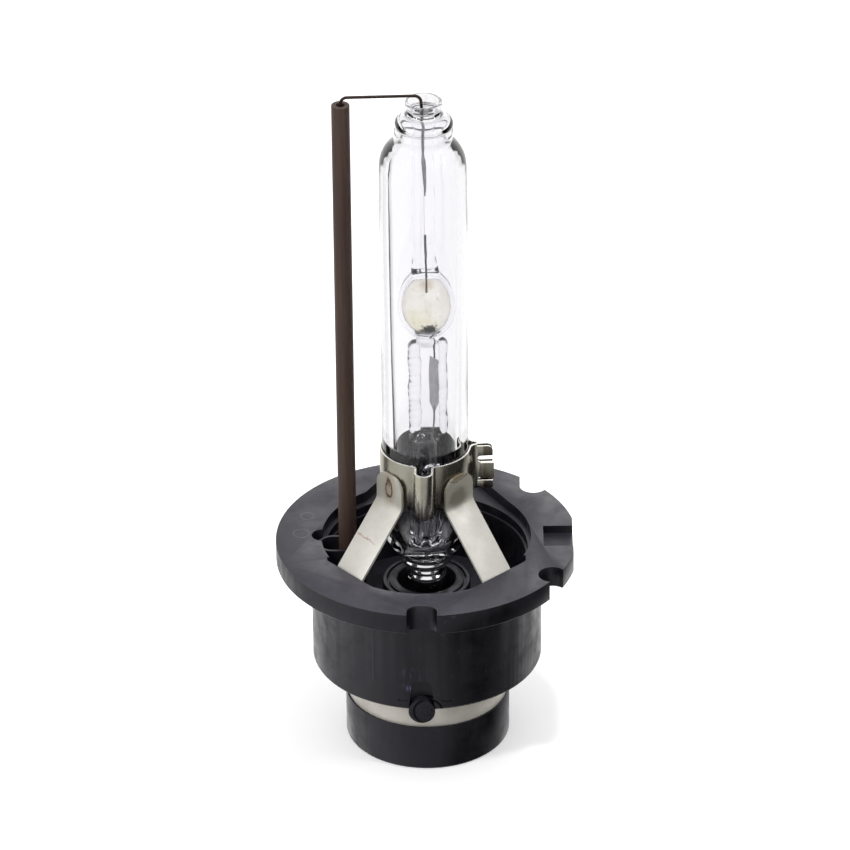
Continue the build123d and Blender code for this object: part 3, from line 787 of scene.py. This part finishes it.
# ------------------------------------------------------------------ foils and rods in the burner
def foil(name, centre_x, low, high, half_width, thin, crumple, along_y=False):
    """Sealing foil: tapered at its lower end, cut at a slant at the top, slightly twisted and
    crinkled, as it is after the quartz has closed on it."""
    rows, columns = 44, 10
    work = bmesh.new()
    sides = []
    for side in (-thin, thin):
        grid = []
        for i in range(rows + 1):
            t = i / rows
            width = half_width * (0.32 + 0.68 * step(t, 0.0, 0.2)) * (1 - 0.12 * step(t, 0.8, 1.0))
            turn = crumple * (0.10 * math.sin(5.0 * t) + 0.04)
            line = []
            for j in range(columns + 1):
                u = 2 * j / columns - 1
                z = low + (high - low) * t - 0.30 * u * t ** 6
                crinkle = crumple * (0.02 * math.sin(17 * t + 2 * u) + 0.012 * math.sin(41 * t))
                x = u * width * math.cos(turn) + 0.03 * math.sin(7 * t)
                y = u * width * math.sin(turn) + crinkle + side
                point = (centre_x - y, x, z) if along_y else (centre_x + x, y, z)
                line.append(work.verts.new(Vector(point) * MM))
            grid.append(line)
        sides.append(grid)
    for grid in sides:
        for low_row, high_row in zip(grid, grid[1:]):
            for j in range(columns):
                work.faces.new((low_row[j], low_row[j + 1], high_row[j + 1], high_row[j]))
    back, front = sides
    rim = [(0, j) for j in range(columns)] + [(i, columns) for i in range(rows)]
    rim += [(rows, j) for j in range(columns, 0, -1)] + [(i, 0) for i in range(rows, 0, -1)]
    for (i, j), (m, n) in zip(rim, rim[1:] + rim[:1]):
        work.faces.new((back[i][j], back[m][n], front[m][n], front[i][j]))
    bmesh.ops.recalc_face_normals(work, faces=work.faces)
    mesh = smooth_faces(finished(name, work))
    piece(name, mesh, "molybdenum", (name.replace("_sheet", ""),), ("foil_sheet",))


def rod(node, slot, stations):
    """Drawn rod through stations of (x, y, z, radius), with slightly uneven drawing marks."""
    rings = []
    for x, y, z, radius in through(stations, 10):
        wide = radius * (1 + 0.05 * math.sin(23 * z) + 0.03 * math.sin(57 * z))
        rings.append(circle(wide, z, 16, (x, y)))
    piece(node + "_rod", rings_mesh(node, rings, closed=False), slot, (node,))


# ------------------------------------------------------------------ rounded copies of CAD nodes
def rounded(node, slot, width):
    """Copy of a CAD node whose sharp edges are rounded, as pressing or moulding leaves them. The
    width is in mm."""
    mesh = frame["nodes"][node].data.copy()
    work = bmesh.new()
    work.from_mesh(mesh)
    bmesh.ops.remove_doubles(work, verts=work.verts, dist=1e-6)
    bmesh.ops.dissolve_limit(work, angle_limit=math.radians(0.4), verts=work.verts,
                             edges=work.edges)
    work.to_mesh(mesh)
    work.free()
    if mesh.has_custom_normals:
        mesh.normals_split_custom_set([(0, 0, 0)] * len(mesh.loops))
    smooth_faces(mesh)
    obj = bpy.data.objects.new(node + "_rounded", mesh)
    bpy.context.scene.collection.objects.link(obj)
    bevel = obj.modifiers.new("bevel", "BEVEL")
    bevel.width, bevel.segments, bevel.limit_method = width * MM, 2, "ANGLE"
    bevel.angle_limit = math.radians(32.0)
    bevel.harden_normals = True
    bevel.use_clamp_overlap = True
    result = evaluated_mesh(obj)
    bpy.data.objects.remove(obj)
    piece(node + "_rounded", result, slot, (node,))


# ------------------------------------------------------------------ stage, light and camera
def floor():
    """Pale paper, level with the lowest point of the CAD. The camera sees it brighter than it
    lights the bulb, and reflections leave it out."""
    half = 3.0
    level = cad_box[0][2]
    mesh = bpy.data.meshes.new("floor")
    corners = [(-half, -half, level), (half, -half, level), (half, half, level),
               (-half, half, level)]
    mesh.from_pydata(corners, [], [(0, 1, 2, 3)])
    plane = bpy.data.objects.new("floor", mesh)
    bpy.context.scene.collection.objects.link(plane)
    s = Shade("floor_paper")
    seen = s.add("ShaderNodeLightPath").outputs["Is Camera Ray"]
    paper = s.mix(s.noise(40, 3), rgb(0.77, 0.77, 0.77), rgb(0.755, 0.755, 0.755))
    s.set(Base_Color=s.mix(seen, paper, rgb(0.95, 0.95, 0.95)), Roughness=0.95,
          Emission_Color=WHITE, Emission_Strength=s.product(seen, 0.22))
    mesh.materials.append(s.material)
    plane.visible_glossy = False


def sky():
    """White studio. It is even and white where it is seen directly or through the glass, and a
    little dimmer as light for matt surfaces. Reflections show a room with a bright backdrop, a
    dimmer front, and a dark screen to the right of the front."""
    screen_x, screen_y = 0.927, -0.375
    diffuse_level, seen_level = 0.85, 1.0
    world = bpy.data.worlds.new("studio")
    bpy.context.scene.world = world
    world.use_nodes = True
    n = Nodes(world.node_tree)
    generated = n.add("ShaderNodeTexCoord").outputs["Generated"]
    way = n.add("ShaderNodeSeparateXYZ", {0: generated}).outputs
    flat = n.math("SQRT", n.minus(1.0, n.product(way["Z"], way["Z"])))
    flat = n.math("MAXIMUM", flat, 0.05)
    to_screen = n.total(n.product(way["X"], screen_x), n.product(way["Y"], screen_y))
    screen = n.product(n.span(n.math("DIVIDE", to_screen, flat), 0.60, 0.93),
                       n.span(way["Z"], 0.15, 0.6, 0.98, 0.0))
    front = n.product(n.span(n.math("DIVIDE", way["Y"], flat), -0.9, -0.5, 0.42, 0.0),
                      n.span(way["Z"], 0.2, 0.7, 1.0, 0.0))
    level = n.span(way["Y"], 0.4, 0.85, 0.95, 1.5)
    for shade in (screen, front):
        level = n.product(level, n.minus(1.0, shade))
    path = n.add("ShaderNodeLightPath").outputs
    seen = n.math("MAXIMUM", path["Is Camera Ray"], path["Is Transmission Ray"])
    first, second = MIX_NUMBERS
    for is_kind, other in ((path["Is Diffuse Ray"], diffuse_level), (seen, seen_level)):
        pick = n.add("ShaderNodeMix", {"Factor": is_kind, first: level, second: other})
        level = pick.outputs[0]
    background = n.tree.nodes["Background"]
    n.feed(background.inputs["Color"], WHITE)
    n.feed(background.inputs["Strength"], level)


def softbox(name, place, target, size, power):
    data = bpy.data.lights.new(name, "AREA")
    data.shape = "RECTANGLE"
    data.size, data.size_y = size
    data.energy = power
    lamp = bpy.data.objects.new(name, data)
    bpy.context.scene.collection.objects.link(lamp)
    lamp.location = place
    ahead = Vector(target) - Vector(place)
    lamp.rotation_euler = ahead.to_track_quat("-Z", "Y").to_euler()


def camera():
    """Long lens, 30 degrees above the reference plane, looking along +Y."""
    elevation = math.radians(30.01)
    roll = math.radians(-0.55)
    distance = 0.6312
    focus = Vector((-0.0137, 0, 13.717)) * MM
    data = bpy.data.cameras.new("camera")
    data.sensor_width = 36.0
    data.lens = 254.1
    data.clip_start = 0.01
    data.clip_end = 20
    eye = bpy.data.objects.new("camera", data)
    bpy.context.scene.collection.objects.link(eye)
    ahead = Vector((0, math.cos(elevation), -math.sin(elevation)))
    right = Vector((1, 0, 0))
    up = right.cross(ahead)
    turned_right = math.cos(roll) * right + math.sin(roll) * up
    turned_up = math.cos(roll) * up - math.sin(roll) * right
    turn = Matrix((turned_right, turned_up, -ahead)).transposed()
    eye.matrix_world = Matrix.Translation(focus - distance * ahead) @ turn.to_4x4()
    bpy.context.scene.camera = eye


camera()
sky()
floor()
dress_frame()
glass()
foil("lower_foil_sheet", centre_x=0.98, low=15.8, high=22.1, half_width=0.52, thin=0.02,
     crumple=1.0)
foil("upper_foil_sheet", centre_x=0.05, low=36.2, high=42.0, half_width=0.50, thin=0.003,
     crumple=0.0, along_y=True)
rod("lower_electrode", "tungsten",
    [(1.02, 0.08, 21.3, 0.09), (1.02, 0.08, 22.3, 0.09), (0.86, 0.02, 24.2, 0.09),
     (0.52, 0, 25.3, 0.10), (0.38, 0, 25.9, 0.12)])
rod("upper_electrode", "tungsten",
    [(0.10, 0.05, 36.8, 0.08), (0.12, 0, 35.2, 0.08), (0.20, 0, 33.0, 0.08),
     (0.26, 0, 31.0, 0.10), (0.26, 0, 29.9, 0.12)])
rod("upper_lead", "molybdenum",
    [(0.12, 0.04, 41.3, 0.04), (0.13, 0.03, 42.2, 0.08), (0.10, 0, 43.4, 0.13),
     (0.06, 0, 44.8, 0.14), (0.03, 0, 45.5, 0.09), (0.05, 0, 47.5, 0.10),
     (0.10, 0, 49.3, 0.10), (0.02, 0, 50.2, 0.10)])
rod("lower_lead", "molybdenum",
    [(0.96, 0.07, 16.6, 0.09), (0.94, 0.05, 14.6, 0.09), (0.70, 0, 12.2, 0.10),
     (0.68, 0, 8.6, 0.09), (0.6, 0.1, 5.0, 0.08), (0.3, 0.1, 0.0, 0.06),
     (0, 0, -5.0, 0.05), (0, 0, -21.8, 0.10)])
for cad_node, its_slot, edge_width in (
    ("base_housing", "base_plastic", 0.14),
    ("clamp_collar", "collar_steel", 0.05),
    ("leg_front_left", "leg_steel", 0.06),
    ("leg_front_right", "leg_steel", 0.06),
    ("leg_rear", "leg_steel", 0.06),
    ("connector_socket", "base_plastic", 0.10),
    ("contact_ring", "ring_metal", 0.05),
    ("stem_bush", "bush_plastic", 0.08),
):
    rounded(cad_node, its_slot, edge_width)
softbox("key_left", (-0.45, -0.40, 0.55), target=(0, 0, 0.01), size=(0.08, 0.12), power=1.95)
softbox("fill_right", (0.55, -0.20, 0.40), target=(0, 0, 0.01), size=(0.06, 0.16), power=0.9)
softbox("top", (0.06, -0.08, 0.75), target=(0, 0, 0.0), size=(0.06, 0.06), power=1.35)
scene = bpy.context.scene
scene.view_settings.view_transform = "Standard"
scene.cycles.max_bounces = 48
scene.cycles.transmission_bounces = 48
scene.cycles.transparent_max_bounces = 16
